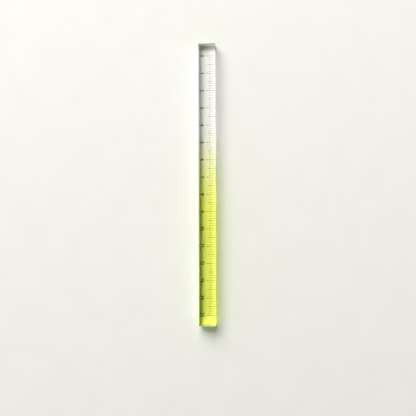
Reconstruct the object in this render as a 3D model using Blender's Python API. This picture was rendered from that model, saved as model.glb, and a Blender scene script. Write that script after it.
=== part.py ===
# Acrylic straight ruler: a solid bar, clear at its 0 end and yellow at its 15 end, with a 15 cm scale
# of fine ink-filled marks in its underside that is read down through the bar.
# Metres. +X runs along the scale from 0 to 15, +Y points to the edge where the lines begin, +Z is up.
# The origin is the middle of the face that the ruler lies on.

import bmesh
import bpy
from mathutils import Vector
from mathutils.geometry import delaunay_2d_cdt

# The scale
CENTIMETRE = 0.0100
CENTIMETRE_COUNT = 15
DIVISIONS_PER_CENTIMETRE = 10

# The bar: its length follows from the scale and the bare stretch past each end of it,
# and its width from what is marked across it
ZERO_END_MARGIN = 0.0063
LAST_END_MARGIN = 0.0056
BAR_THICKNESS = 0.0080
EDGE_ROUNDING = 0.0003
EDGE_SEGMENTS = 3

# The lines: each starts on the flat just inside the rounded edge and runs towards the numerals
LINE_LAND = 0.0005
CENTIMETRE_LINE_LENGTH = 0.0050
HALF_LINE_LENGTH = 0.0040
SHORT_LINE_LENGTH = 0.0033
CENTIMETRE_LINE_WIDTH = 0.00020
HALF_LINE_WIDTH = 0.00022
SHORT_LINE_WIDTH = 0.00015

# The numerals: they stand near the other edge, with their tops towards the lines.
# Two digits are spaced, and moved back towards 0 as a pair, by shares of their height.
# They are bold: each outline is moved out by NUMERAL_BOLDNESS from the drawn or the font's one
NUMERAL_LAND = 0.0005
NUMERAL_HEIGHT = 0.0021
NUMERAL_BOLDNESS = 0.00004
NUMERAL_TO_LINE_GAP = 0.0011
FONT_DIGIT_HEIGHT_SHARE = 0.682
DIGIT_PITCH_SHARE = 0.58
PAIR_SHIFT_SHARE = -0.17
GLYPH_STEPS = 3

# Two digits are drawn here, in shares of their height from the middle of their foot:
# the font's 1 has no flag, and its 4 has a corner that is too narrow for the clearance
ONE_SHARES = ((-0.02, 0), (0.12, 0), (0.12, 1), (0.01, 1), (-0.19, 0.84), (-0.19, 0.70), (-0.02, 0.81))
FOUR_FOOT_SHARES = ((0.07, 0.33), (0.07, 0), (0.22, 0), (0.22, 0.33))
FOUR_BAR_SHARES = ((0.32, 0.33), (0.32, 0.46), (0.22, 0.46))
FOUR_SLOPE_SHARES = ((0.22, 1), (0.15, 1), (-0.35, 0.40), (-0.35, 0.33))
FOUR_EYE_SHARES = ((0.07, 0.74), (-0.16, 0.46), (0.07, 0.46))
DRAWN_DIGITS_SHARES = {
    "1": (ONE_SHARES,),
    "4": (FOUR_FOOT_SHARES + FOUR_BAR_SHARES + FOUR_SLOPE_SHARES, FOUR_EYE_SHARES),
}

# The ink, and the marks cut for it, which are larger by the clearance all round
INK_THICKNESS = 0.00010
INK_CLEARANCE = 0.00001
INK_RECESS = 0.00001
CUTTER_OVERRUN = 0.0005
WELD_DISTANCE = 0.000001

# The way of filling an outline: with triangles, out to its outermost loops
FILL_TRIANGLES = 1

# Finishes, with the stretch where the yellow fades in as shares of the bar's length
CLEAR_COLOUR = (0.97, 0.98, 0.96, 1.0)
YELLOW_COLOUR = (0.80, 0.90, 0.10, 1.0)
TINT_START_SHARE = 0.32
TINT_FULL_SHARE = 0.66
ACRYLIC_INDEX = 1.49
ACRYLIC_ROUGHNESS = 0.02
INK_COLOUR = (0.012, 0.012, 0.011, 1.0)
INK_ROUGHNESS = 0.45

# Worked out from the values above
OUTLINE_HEIGHT = NUMERAL_HEIGHT - 2 * NUMERAL_BOLDNESS
BAR_LENGTH = ZERO_END_MARGIN + CENTIMETRE_COUNT * CENTIMETRE + LAST_END_MARGIN
NUMERAL_SIDE = EDGE_ROUNDING + NUMERAL_LAND + NUMERAL_HEIGHT
LINE_SIDE = CENTIMETRE_LINE_LENGTH + LINE_LAND + EDGE_ROUNDING
BAR_WIDTH = NUMERAL_SIDE + NUMERAL_TO_LINE_GAP + LINE_SIDE
ZERO_X = ZERO_END_MARGIN - BAR_LENGTH / 2
LINE_START_Y = BAR_WIDTH / 2 - EDGE_ROUNDING - LINE_LAND
NUMERAL_BASE_Y = EDGE_ROUNDING + NUMERAL_LAND - BAR_WIDTH / 2
MARK_DEPTH = INK_RECESS + INK_THICKNESS + INK_CLEARANCE


def clear_scene():
    for old in list(bpy.data.objects):
        bpy.data.objects.remove(old, do_unlink=True)


def principled(name, colour, roughness):
    material = bpy.data.materials.new(name)
    material.use_nodes = True
    shader = material.node_tree.nodes["Principled BSDF"]
    shader.inputs["Base Color"].default_value = colour
    shader.inputs["Roughness"].default_value = roughness
    shader.inputs["Metallic"].default_value = 0.0
    return material


def acrylic_material():
    """Clear acrylic whose yellow fades in along the bar."""
    material = principled("acrylic", YELLOW_COLOUR, ACRYLIC_ROUGHNESS)
    tree = material.node_tree
    shader = tree.nodes["Principled BSDF"]
    shader.inputs["IOR"].default_value = ACRYLIC_INDEX
    shader.inputs["Transmission Weight"].default_value = 1.0
    place = tree.nodes.new("ShaderNodeTexCoord")
    split = tree.nodes.new("ShaderNodeSeparateXYZ")
    ramp = tree.nodes.new("ShaderNodeValToRGB")
    start, full = ramp.color_ramp.elements
    start.position, start.color = TINT_START_SHARE, CLEAR_COLOUR
    full.position, full.color = TINT_FULL_SHARE, YELLOW_COLOUR
    tree.links.new(place.outputs["Generated"], split.inputs["Vector"])
    tree.links.new(split.outputs["X"], ramp.inputs["Fac"])
    tree.links.new(ramp.outputs["Color"], shader.inputs["Base Color"])
    return material


def add_object(name, mesh, location=(0, 0, 0)):
    made = bpy.data.objects.new(name, mesh)
    made.location = location
    bpy.context.scene.collection.objects.link(made)
    return made


def box_mesh(name, low, high):
    """A closed box between two corners."""
    shape = bmesh.new()
    for vert in bmesh.ops.create_cube(shape, size=1.0)["verts"]:
        vert.co = [high[i] if vert.co[i] > 0 else low[i] for i in range(3)]
    mesh = bpy.data.meshes.new(name)
    shape.to_mesh(mesh)
    shape.free()
    return mesh


def line_mesh(name, length, width, bottom, top, spread):
    """A bar of ink that starts at y = 0 and runs to -Y, moved out by spread on every side."""
    half = width / 2 + spread
    return box_mesh(name, (-half, -length - spread, bottom), (half, spread, top))


def drawn_outline(loops):
    """The points and edges of a digit whose loops are drawn above."""
    points, edges = [], []
    for loop in loops:
        first, count = len(points), len(loop)
        points += [Vector(share) * OUTLINE_HEIGHT for share in loop]
        edges += [(first + i, first + (i + 1) % count) for i in range(count)]
    return points, edges


def font_outline(digit):
    """The points and edges of a digit's outline, centred on x = 0 and standing on y = 0."""
    text = bpy.data.curves.new(digit, "FONT")
    text.body = digit
    text.align_x = "CENTER"
    text.size = OUTLINE_HEIGHT / FONT_DIGIT_HEIGHT_SHARE
    text.resolution_u = GLYPH_STEPS
    text.fill_mode = "NONE"
    drawn = add_object(digit, text)
    bpy.context.view_layer.update()
    graph = bpy.context.evaluated_depsgraph_get()
    wire = bpy.data.meshes.new_from_object(drawn.evaluated_get(graph))
    bpy.data.objects.remove(drawn)
    bpy.data.curves.remove(text)
    points = [vert.co.to_2d() for vert in wire.vertices]
    edges = [tuple(edge.vertices) for edge in wire.edges]
    bpy.data.meshes.remove(wire)
    return points, edges


def is_inked(spot, points, edges):
    """Whether a spot lies inside an odd number of the outline's loops."""
    crossings = 0
    for first, second in edges:
        start, end = points[first], points[second]
        if (start.y > spot.y) != (end.y > spot.y):
            along = (spot.y - start.y) / (end.y - start.y)
            crossings += start.lerp(end, along).x > spot.x
    return crossings % 2 == 1


def digit_mesh(name, digit, bottom, top, spread):
    """A solid digit between two heights, its outline moved out by spread."""
    drawn = DRAWN_DIGITS_SHARES.get(digit)
    outline, edges = drawn_outline(drawn) if drawn else font_outline(digit)
    points, _, faces, *_ = delaunay_2d_cdt(outline, edges, [], FILL_TRIANGLES, WELD_DISTANCE)
    shape = bmesh.new()
    verts = [shape.verts.new((x, y + NUMERAL_BOLDNESS, bottom)) for x, y in points]
    flat = []
    for face in faces:
        middle = sum((points[i] for i in face), Vector((0, 0))) / len(face)
        if is_inked(middle, outline, edges):
            flat.append(shape.faces.new([verts[i] for i in face]))
    move_rim_out(shape, NUMERAL_BOLDNESS + spread)
    raised = bmesh.ops.extrude_face_region(shape, geom=flat, use_keep_orig=True)
    moved = [item for item in raised["geom"] if isinstance(item, bmesh.types.BMVert)]
    bmesh.ops.translate(shape, verts=moved, vec=(0, 0, top - bottom))
    bmesh.ops.recalc_face_normals(shape, faces=shape.faces)
    mesh = bpy.data.meshes.new(name)
    shape.to_mesh(mesh)
    shape.free()
    return mesh


def move_rim_out(shape, distance):
    """Moves the rim of a flat shape that faces +Z out by distance, square to each of its edges."""
    outward = {}
    for edge in shape.edges:
        if edge.is_boundary:
            start = edge.link_loops[0].vert
            along = (edge.other_vert(start).co - start.co).normalized()
            for vert in edge.verts:
                outward.setdefault(vert, []).append(Vector((along.y, -along.x, 0)))
    for vert, (first, second) in outward.items():
        vert.co += (first + second) * (distance / (1 + first.dot(second)))


def line_marks():
    """(name or None, length, width, location) of every line, None where a line is a mark alone."""
    middle = DIVISIONS_PER_CENTIMETRE // 2
    for index in range(CENTIMETRE_COUNT * DIVISIONS_PER_CENTIMETRE + 1):
        number, division = divmod(index, DIVISIONS_PER_CENTIMETRE)
        x = ZERO_X + index * CENTIMETRE / DIVISIONS_PER_CENTIMETRE
        place = (x, LINE_START_Y, 0)
        if division == 0:
            yield f"centimetre_line_{number}", CENTIMETRE_LINE_LENGTH, CENTIMETRE_LINE_WIDTH, place
        elif division == middle:
            yield f"half_line_after_{number}", HALF_LINE_LENGTH, HALF_LINE_WIDTH, place
        else:
            yield None, SHORT_LINE_LENGTH, SHORT_LINE_WIDTH, place


def numeral_marks():
    """(name, digit, location) of every digit."""
    pitch = DIGIT_PITCH_SHARE * NUMERAL_HEIGHT
    for number in range(CENTIMETRE_COUNT + 1):
        x = ZERO_X + number * CENTIMETRE
        digits = str(number)
        if len(digits) == 1:
            yield f"numeral_{number}", digits, (x, NUMERAL_BASE_Y, 0)
            continue
        middle = x + PAIR_SHIFT_SHARE * NUMERAL_HEIGHT
        yield f"numeral_{number}_tens", digits[0], (middle - pitch / 2, NUMERAL_BASE_Y, 0)
        yield f"numeral_{number}_units", digits[1], (middle + pitch / 2, NUMERAL_BASE_Y, 0)


def build_ink(material):
    """One piece of ink in each numeral, centimetre line and half centimetre line."""
    low, high = INK_RECESS, INK_RECESS + INK_THICKNESS
    for name, length, width, location in line_marks():
        if name:
            mesh = line_mesh(name, length, width, low, high, 0)
            mesh.materials.append(material)
            add_object(name, mesh, location)
    for name, digit, location in numeral_marks():
        mesh = digit_mesh(name, digit, low, high, 0)
        mesh.materials.append(material)
        add_object(name, mesh, location)


def marks_cutter():
    """Every mark of the scale as one cutter that reaches up into the underside."""
    joined = bmesh.new()
    for _, length, width, location in line_marks():
        mesh = line_mesh("mark", length, width, -CUTTER_OVERRUN, MARK_DEPTH, INK_CLEARANCE)
        add_to(joined, mesh, location)
    for _, digit, location in numeral_marks():
        mesh = digit_mesh("mark", digit, -CUTTER_OVERRUN, MARK_DEPTH, INK_CLEARANCE)
        add_to(joined, mesh, location)
    mesh = bpy.data.meshes.new("scale_marks_cutter")
    joined.to_mesh(mesh)
    joined.free()
    cutter = add_object("scale_marks_cutter", mesh)
    cutter.hide_render = True
    cutter.display_type = "WIRE"
    return cutter


def add_to(joined, mesh, location):
    """Adds a mesh to a bmesh at its location."""
    before = len(joined.verts)
    joined.from_mesh(mesh)
    joined.verts.ensure_lookup_table()
    bmesh.ops.translate(joined, verts=joined.verts[before:], vec=location)
    bpy.data.meshes.remove(mesh)


def build_bar(material):
    """The acrylic bar, its edges rounded and polished, with the scale's marks cut in its underside."""
    half_length, half_width = BAR_LENGTH / 2, BAR_WIDTH / 2
    low = (-half_length, -half_width, 0)
    high = (half_length, half_width, BAR_THICKNESS)
    mesh = box_mesh("acrylic_bar", low, high)
    mesh.materials.append(material)
    bar = add_object("acrylic_bar", mesh)
    rounding = bar.modifiers.new("polished_edges", "BEVEL")
    rounding.width = EDGE_ROUNDING
    rounding.segments = EDGE_SEGMENTS
    rounding.limit_method = "NONE"
    marks = bar.modifiers.new("scale_marks", "BOOLEAN")
    marks.operation = "DIFFERENCE"
    marks.solver = "EXACT"
    marks.object = marks_cutter()


def main():
    clear_scene()
    build_bar(acrylic_material())
    build_ink(principled("scale_ink", INK_COLOUR, INK_ROUGHNESS))


main()
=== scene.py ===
import bmesh
import bpy
from mathutils import Matrix, Vector


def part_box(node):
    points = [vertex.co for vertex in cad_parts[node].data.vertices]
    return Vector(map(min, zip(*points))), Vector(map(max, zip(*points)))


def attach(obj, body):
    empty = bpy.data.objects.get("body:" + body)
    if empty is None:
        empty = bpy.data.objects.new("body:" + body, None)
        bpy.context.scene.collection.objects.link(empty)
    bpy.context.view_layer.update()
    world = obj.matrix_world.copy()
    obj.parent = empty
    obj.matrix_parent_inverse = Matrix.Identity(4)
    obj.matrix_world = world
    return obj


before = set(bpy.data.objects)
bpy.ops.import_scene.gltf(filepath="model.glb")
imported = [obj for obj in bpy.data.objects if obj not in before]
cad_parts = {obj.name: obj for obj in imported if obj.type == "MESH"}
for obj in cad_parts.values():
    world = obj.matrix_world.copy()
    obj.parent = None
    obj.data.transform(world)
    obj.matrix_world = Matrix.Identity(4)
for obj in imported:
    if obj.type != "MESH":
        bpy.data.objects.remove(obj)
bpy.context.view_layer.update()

scene = bpy.context.scene
barLow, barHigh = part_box("acrylic_bar")
zeroFromEnd = 0.0063                        # the bare stretch before the 0 line
zeroX = barLow.x + zeroFromEnd


def newMaterial(name):
    material = bpy.data.materials.new(name)
    material.use_nodes = True
    tree = material.node_tree
    return material, tree, tree.nodes["Principled BSDF"]


def addNode(tree, kind, values=None, **settings):
    node = tree.nodes.new(kind)
    for key, value in settings.items():
        setattr(node, key, value)
    for key, value in (values or {}).items():
        if isinstance(value, bpy.types.NodeSocket):
            tree.links.new(value, node.inputs[key])
        else:
            node.inputs[key].default_value = value
    return node


def calculate(tree, operation, first, second, clamp=False):
    node = addNode(tree, "ShaderNodeMath", {
        0: first, 1: second}, operation=operation, use_clamp=clamp)
    return node.outputs[0]


def smoothStep(tree, value, start, end):
    # 0 at the start and 1 at the end, with no corner at either
    node = addNode(tree, "ShaderNodeMapRange", {
        "Value": value, "From Min": start, "From Max": end}, interpolation_type="SMOOTHSTEP")
    return node.outputs["Result"]


def mixColours(tree, share, first, second, kind="MIX"):
    # sockets 6 and 7 are the two colours, and output 2 their mix
    node = addNode(tree, "ShaderNodeMix", {
        0: share, 6: first, 7: second}, data_type="RGBA", blend_type=kind)
    return node.outputs[2]


def bumpNormal(tree, height, distance, strength):
    node = addNode(tree, "ShaderNodeBump", {
        "Height": height, "Strength": strength, "Distance": distance})
    return node.outputs["Normal"]


mottling = {
    "scale": 100.0,
    "detail": 3.0,
    "noiseLow": 0.3,        # the noise seldom goes past these two
    "noiseHigh": 0.7,
}


def mottleGroup(part):
    # soft patches from one noise, spread between two values
    group = bpy.data.node_groups.new("surfaceMottle", "ShaderNodeTree")
    face = group.interface
    face.new_socket("Vector", in_out="INPUT", socket_type="NodeSocketVector")
    sockets = (("Scale", part["scale"]), ("Detail", part["detail"]), ("Low", 0.0), ("High", 1.0))
    for name, value in sockets:
        socket = face.new_socket(name, in_out="INPUT", socket_type="NodeSocketFloat")
        socket.default_value = value
    face.new_socket("Value", in_out="OUTPUT", socket_type="NodeSocketFloat")
    given = addNode(group, "NodeGroupInput").outputs
    noise = addNode(group, "ShaderNodeTexNoise", {
        "Vector": given["Vector"], "Scale": given["Scale"], "Detail": given["Detail"]})
    spread = addNode(group, "ShaderNodeMapRange", {
        "Value": noise.outputs["Fac"], "From Min": part["noiseLow"], "From Max": part["noiseHigh"],
        "To Min": given["Low"], "To Max": given["High"]})
    out = addNode(group, "NodeGroupOutput")
    group.links.new(spread.outputs["Result"], out.inputs["Value"])
    return group


surfaceMottle = mottleGroup(mottling)


def mottle(tree, place, scale, low, high, detail=mottling["detail"]):
    node = tree.nodes.new("ShaderNodeGroup")
    node.node_tree = surfaceMottle
    tree.links.new(place, node.inputs["Vector"])
    for key, value in (("Scale", scale), ("Detail", detail), ("Low", low), ("High", high)):
        node.inputs[key].default_value = value
    return node.outputs["Value"]


def patchColour(tree, place, part):
    patches = mottle(tree, place, part["patchScale"], 0.0, 1.0)
    return mixColours(tree, patches, (*part["dark"], 1), (*part["pale"], 1))


acrylic = {
    "index": 1.49,
    "fadeStart": 0.0390,            # where the yellow begins and is full, from the 0 line
    "fadeEnd": 0.0981,
    "tint": (0.970, 1.000, 0.390),  # the full yellow: what is left of light that went in and out
    "tintSteps": 4,
    # near the upright faces the colour is deeper: painted shade for the dark band along the
    # numerals' side and the dark line at the 15 end, partly also the longer way the light takes
    # through the dye there, and at the faces a painted glow, an emission that stands in for the
    # dye's fluorescent light and greens the shadow beside the bar
    "shadeAndGlowBorders": (
        {"axis": "Y", "side": "low", "depth": 0.0030,
         "tint": (0.650, 0.720, 0.260), "paintedGlow": (0.00, 0.00, 0.00)},
        {"axis": "Y", "side": "high", "depth": 0.00015,
         "tint": (0.900, 0.985, 0.700), "paintedGlow": (0.02, 0.12, 0.00)},
        {"axis": "X", "side": "high", "depth": 0.0012,
         "tint": (0.600, 0.580, 0.160), "paintedGlow": (0.00, 0.00, 0.00)},
        {"axis": "X", "side": "high", "depth": 0.00015,
         "tint": (0.700, 0.900, 0.300), "paintedGlow": (0.01, 0.15, 0.00)},
    ),
    "polish": (0.012, 0.030),       # roughness, from the best polished patches to the worst
    "polishScale": 140.0,
    "waveScale": 90.0,
    "waveHeight": 0.0000012,
    "waveStrength": 1.0,
}


def acrylicMaterial(part):
    material, tree, shader = newMaterial("rulerAcrylic")
    place = addNode(tree, "ShaderNodeTexCoord").outputs["Object"]
    spot = addNode(tree, "ShaderNodeSeparateXYZ", {"Vector": place}).outputs
    dye = smoothStep(tree, spot["X"], zeroX + part["fadeStart"], zeroX + part["fadeEnd"])
    ramp = addNode(tree, "ShaderNodeValToRGB", {"Fac": dye})
    stops = ramp.color_ramp.elements
    while len(stops) <= part["tintSteps"]:
        stops.new(1.0)
    for index, stop in enumerate(stops):
        # with half the dye, light loses half as many times over
        stop.position = index / part["tintSteps"]
        stop.color = (*(channel ** stop.position for channel in part["tint"]), 1)
    colour, paintedGlow = ramp.outputs["Color"], (0, 0, 0, 1)
    for shadeAndGlowBorder in part["shadeAndGlowBorders"]:
        number = "XY".index(shadeAndGlowBorder["axis"])
        if shadeAndGlowBorder["side"] == "low":
            outer = barLow[number]
            inner = outer + shadeAndGlowBorder["depth"]
        else:
            outer = barHigh[number]
            inner = outer - shadeAndGlowBorder["depth"]
        # painted shade: the colour is deepened near these faces, most along the numerals' side and
        # at the 15 end
        near = smoothStep(tree, spot[shadeAndGlowBorder["axis"]], inner, outer)
        share = calculate(tree, "MULTIPLY", near, dye)
        colour = mixColours(tree, share, colour, (*shadeAndGlowBorder["tint"], 1), "MULTIPLY")
        # painted glow: emission added at the faces, lighting the floor beside the bar green though
        # it is no lamp
        paintedGlow = mixColours(tree, share, paintedGlow, (*shadeAndGlowBorder["paintedGlow"], 1), "ADD")
    tree.links.new(colour, shader.inputs["Base Color"])
    tree.links.new(paintedGlow, shader.inputs["Emission Color"])
    shader.inputs["Emission Strength"].default_value = 1.0
    polish = mottle(tree, place, part["polishScale"], *part["polish"])
    tree.links.new(polish, shader.inputs["Roughness"])
    waves = mottle(tree, place, part["waveScale"], 0.0, 1.0, detail=0.0)
    wavy = bumpNormal(tree, waves, part["waveHeight"], part["waveStrength"])
    tree.links.new(wavy, shader.inputs["Normal"])
    shader.inputs["IOR"].default_value = part["index"]
    shader.inputs["Transmission Weight"].default_value = 1.0
    return material


ink = {
    "dark": (0.004, 0.004, 0.004),
    "pale": (0.014, 0.013, 0.012),
    "patchScale": 2600.0,
    "roughness": (0.45, 0.70),
    "specular": 0.15,
    "grainScale": 9000.0,
    "grainHeight": 0.000004,
    "grainStrength": 0.6,
}


def inkMaterial(part):
    material, tree, shader = newMaterial("scaleInk")
    place = addNode(tree, "ShaderNodeTexCoord").outputs["Object"]
    tree.links.new(patchColour(tree, place, part), shader.inputs["Base Color"])
    sheen = mottle(tree, place, part["patchScale"], *part["roughness"])
    tree.links.new(sheen, shader.inputs["Roughness"])
    shader.inputs["Specular IOR Level"].default_value = part["specular"]
    grain = mottle(tree, place, part["grainScale"], 0.0, 1.0)
    grainy = bumpNormal(tree, grain, part["grainHeight"], part["grainStrength"])
    tree.links.new(grainy, shader.inputs["Normal"])
    return material


rulerAcrylic = acrylicMaterial(acrylic)
scaleInk = inkMaterial(ink)
for name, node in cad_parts.items():
    finish = rulerAcrylic if name == "acrylic_bar" else scaleInk
    for slot in node.material_slots:
        slot.material = finish
print("materials: acrylic and ink on", len(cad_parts), "nodes")

# the ink of the millimetre lines, which fills the marks that the CAD bar has in its underside
shortLines = {
    "centimetres": 15,
    "perCentimetre": 10,
    "spacing": 0.0010,
    "length": 0.0033,
    "width": 0.00015,
    "startFromEdge": 0.0008,
    "recess": 0.00001,
    "depth": 0.00010,
    "dish": 0.00003,        # how far the ink sank in the middle as it dried
}


def inkStroke(shape, x, yStart, part):
    # a thin bar of ink whose underside is dished along its length
    half, low, high = part["width"] / 2, part["recess"], part["recess"] + part["depth"]
    yEnd = yStart - part["length"]
    left, right = x - half, x + half
    corners = ((left, yEnd), (right, yEnd), (right, yStart), (left, yStart))
    top = [shape.verts.new((cx, cy, high)) for cx, cy in corners]
    rim = [shape.verts.new((cx, cy, low)) for cx, cy in corners]
    inset = part["width"]
    endDish = shape.verts.new((x, yEnd + inset, low + part["dish"]))
    startDish = shape.verts.new((x, yStart - inset, low + part["dish"]))
    shape.faces.new(top)
    for i in range(len(corners)):
        j = (i + 1) % len(corners)
        shape.faces.new((rim[i], rim[j], top[j], top[i]))
    shape.faces.new((rim[1], rim[0], endDish))
    shape.faces.new((rim[2], rim[1], endDish, startDish))
    shape.faces.new((rim[3], rim[2], startDish))
    shape.faces.new((rim[0], rim[3], startDish, endDish))


def buildShortLines(part):
    shape = bmesh.new()
    half = part["perCentimetre"] // 2
    drawn = 0
    for index in range(part["centimetres"] * part["perCentimetre"]):
        if index % half:        # the whole and half centimetres are solids of the CAD
            x = zeroX + index * part["spacing"]
            inkStroke(shape, x, barHigh.y - part["startFromEdge"], part)
            drawn += 1
    mesh = bpy.data.meshes.new("short_line_ink")
    shape.to_mesh(mesh)
    shape.free()
    mesh.materials.append(scaleInk)
    piece = bpy.data.objects.new("short_line_ink", mesh)
    scene.collection.objects.link(piece)
    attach(piece, "root")
    print("short lines:", drawn)


buildShortLines(shortLines)


def seenMask(tree):
    # 1 for what the camera sees straight, in a reflection or through the acrylic,
    # and 0 where a ray only gathers the light for something else
    path = addNode(tree, "ShaderNodeLightPath").outputs
    seen = calculate(tree, "ADD", path["Is Camera Ray"], path["Is Glossy Ray"])
    seen = calculate(tree, "ADD", seen, path["Is Transmission Ray"])
    undiffused = calculate(tree, "LESS_THAN", path["Diffuse Depth"], 1.0)
    return calculate(tree, "MULTIPLY", seen, undiffused, clamp=True)


floor = {
    "reach": 12.0,
    "steps": 12,
    "below": 0.00002,       # the bar stands on its highest spots, so a film of air is left under it
    "pale": (0.870, 0.860, 0.800),
    "dark": (0.850, 0.840, 0.780),
    "patchScale": 60.0,
    "roughness": 1.0,
    "specular": 0.0,
    "far": (0.860, 0.850, 0.800),   # past the lamp's reach the floor shows its own pale colour
    "farFrom": 0.20,
    "farTo": 1.20,
}


def floorMaterial(part):
    material, tree, shader = newMaterial("palePaper")
    place = addNode(tree, "ShaderNodeTexCoord").outputs["Object"]
    tree.links.new(patchColour(tree, place, part), shader.inputs["Base Color"])
    shader.inputs["Roughness"].default_value = part["roughness"]
    shader.inputs["Specular IOR Level"].default_value = part["specular"]
    distance = addNode(tree, "ShaderNodeVectorMath", {0: place}, operation="LENGTH")
    away = smoothStep(tree, distance.outputs["Value"], part["farFrom"], part["farTo"])
    share = calculate(tree, "MULTIPLY", away, seenMask(tree))
    far = addNode(tree, "ShaderNodeEmission", {"Color": (*part["far"], 1), "Strength": 1.0})
    both = addNode(tree, "ShaderNodeMixShader", {
        0: share, 1: shader.outputs["BSDF"], 2: far.outputs["Emission"]})
    tree.links.new(both.outputs["Shader"], tree.nodes["Material Output"].inputs["Surface"])
    return material


def buildFloor(part):
    shape = bmesh.new()
    bmesh.ops.create_grid(
        shape, x_segments=part["steps"], y_segments=part["steps"], size=part["reach"])
    mesh = bpy.data.meshes.new("studio_floor")
    shape.to_mesh(mesh)
    shape.free()
    mesh.materials.append(floorMaterial(part))
    piece = bpy.data.objects.new("studio_floor", mesh)
    piece.location.z = -part["below"]
    scene.collection.objects.link(piece)


buildFloor(floor)
print("floor")

# a round softbox past the 0 end, on the numerals' side
softbox = {
    "place": (-1.020, -0.390, 1.110),
    "diameter": 1.330,
    "watts": 27.8,
}


def buildSoftbox(part):
    lamp = bpy.data.lights.new("key", "AREA")
    lamp.shape = "DISK"
    lamp.size = part["diameter"]
    lamp.energy = part["watts"]
    key = bpy.data.objects.new("key", lamp)
    key.location = part["place"]
    key.rotation_euler = Vector(part["place"]).to_track_quat("Z", "Y").to_euler()
    scene.collection.objects.link(key)


room = {
    "fill": 0.326,                      # what the room gives from all round
    "fillSide": (-0.20, -0.87, -0.09),  # and where it gives more: a pale wall on the numerals' side
    "backdrop": (1.0, 1.0, 1.0),
    "backdropTop": (0.25, 0.60),        # it fades into the darker ceiling between these heights
}


def buildRoom(part):
    world = bpy.data.worlds.new("studio")
    world.use_nodes = True
    scene.world = world
    tree = world.node_tree
    background = tree.nodes["Background"]
    background.inputs["Color"].default_value = (*part["backdrop"], 1)
    towards = addNode(tree, "ShaderNodeTexCoord").outputs["Generated"]
    side = addNode(tree, "ShaderNodeVectorMath", {
        0: towards, 1: part["fillSide"]}, operation="DOT_PRODUCT")
    fill = calculate(tree, "ADD", side.outputs["Value"], part["fill"], clamp=True)
    # the backdrop looks white where it is seen, in glass too, and lights the object only as fill
    height = addNode(tree, "ShaderNodeSeparateXYZ", {"Vector": towards}).outputs["Z"]
    low, high = part["backdropTop"]
    wall = smoothStep(tree, height, high, low)
    white = calculate(tree, "MULTIPLY", wall, seenMask(tree))
    strength = addNode(tree, "ShaderNodeMapRange", {
        "Value": white, "To Min": fill, "To Max": 1.0})
    tree.links.new(strength.outputs["Result"], background.inputs["Strength"])


buildSoftbox(softbox)
buildRoom(room)
print("light")

# the photograph's angle: from straight above, with the 0 end at the top
camera = {
    "place": (0.0133, 0.03042, 0.507),
    "target": (0.0133, 0.00052, 0.008),
    "lean": 0.0026,         # the bar lies a seventh of a degree off the picture's upright
    "lens": 75.6,
    "clipStart": 0.01,
}


def buildCamera(part):
    data = bpy.data.cameras.new("camera")
    data.lens = part["lens"]
    data.clip_start = part["clipStart"]
    eye = bpy.data.objects.new("camera", data)
    place = Vector(part["place"])
    back = (place - Vector(part["target"])).normalized()
    upward = Vector((-1, part["lean"], 0))
    right = upward.cross(back).normalized()
    upward = back.cross(right)
    turn = Matrix((right, upward, back)).transposed()
    eye.matrix_world = Matrix.LocRotScale(place, turn, None)
    scene.collection.objects.link(eye)
    scene.camera = eye


buildCamera(camera)
print("camera")

# clear acrylic needs long light paths, and its caustics none of the usual shortcuts
scene.view_settings.view_transform = "Standard"
scene.cycles.blur_glossy = 0.0
scene.cycles.sample_clamp_indirect = 0.0
scene.cycles.max_bounces = 24
scene.cycles.transmission_bounces = 20
scene.cycles.glossy_bounces = 12
scene.cycles.diffuse_bounces = 4
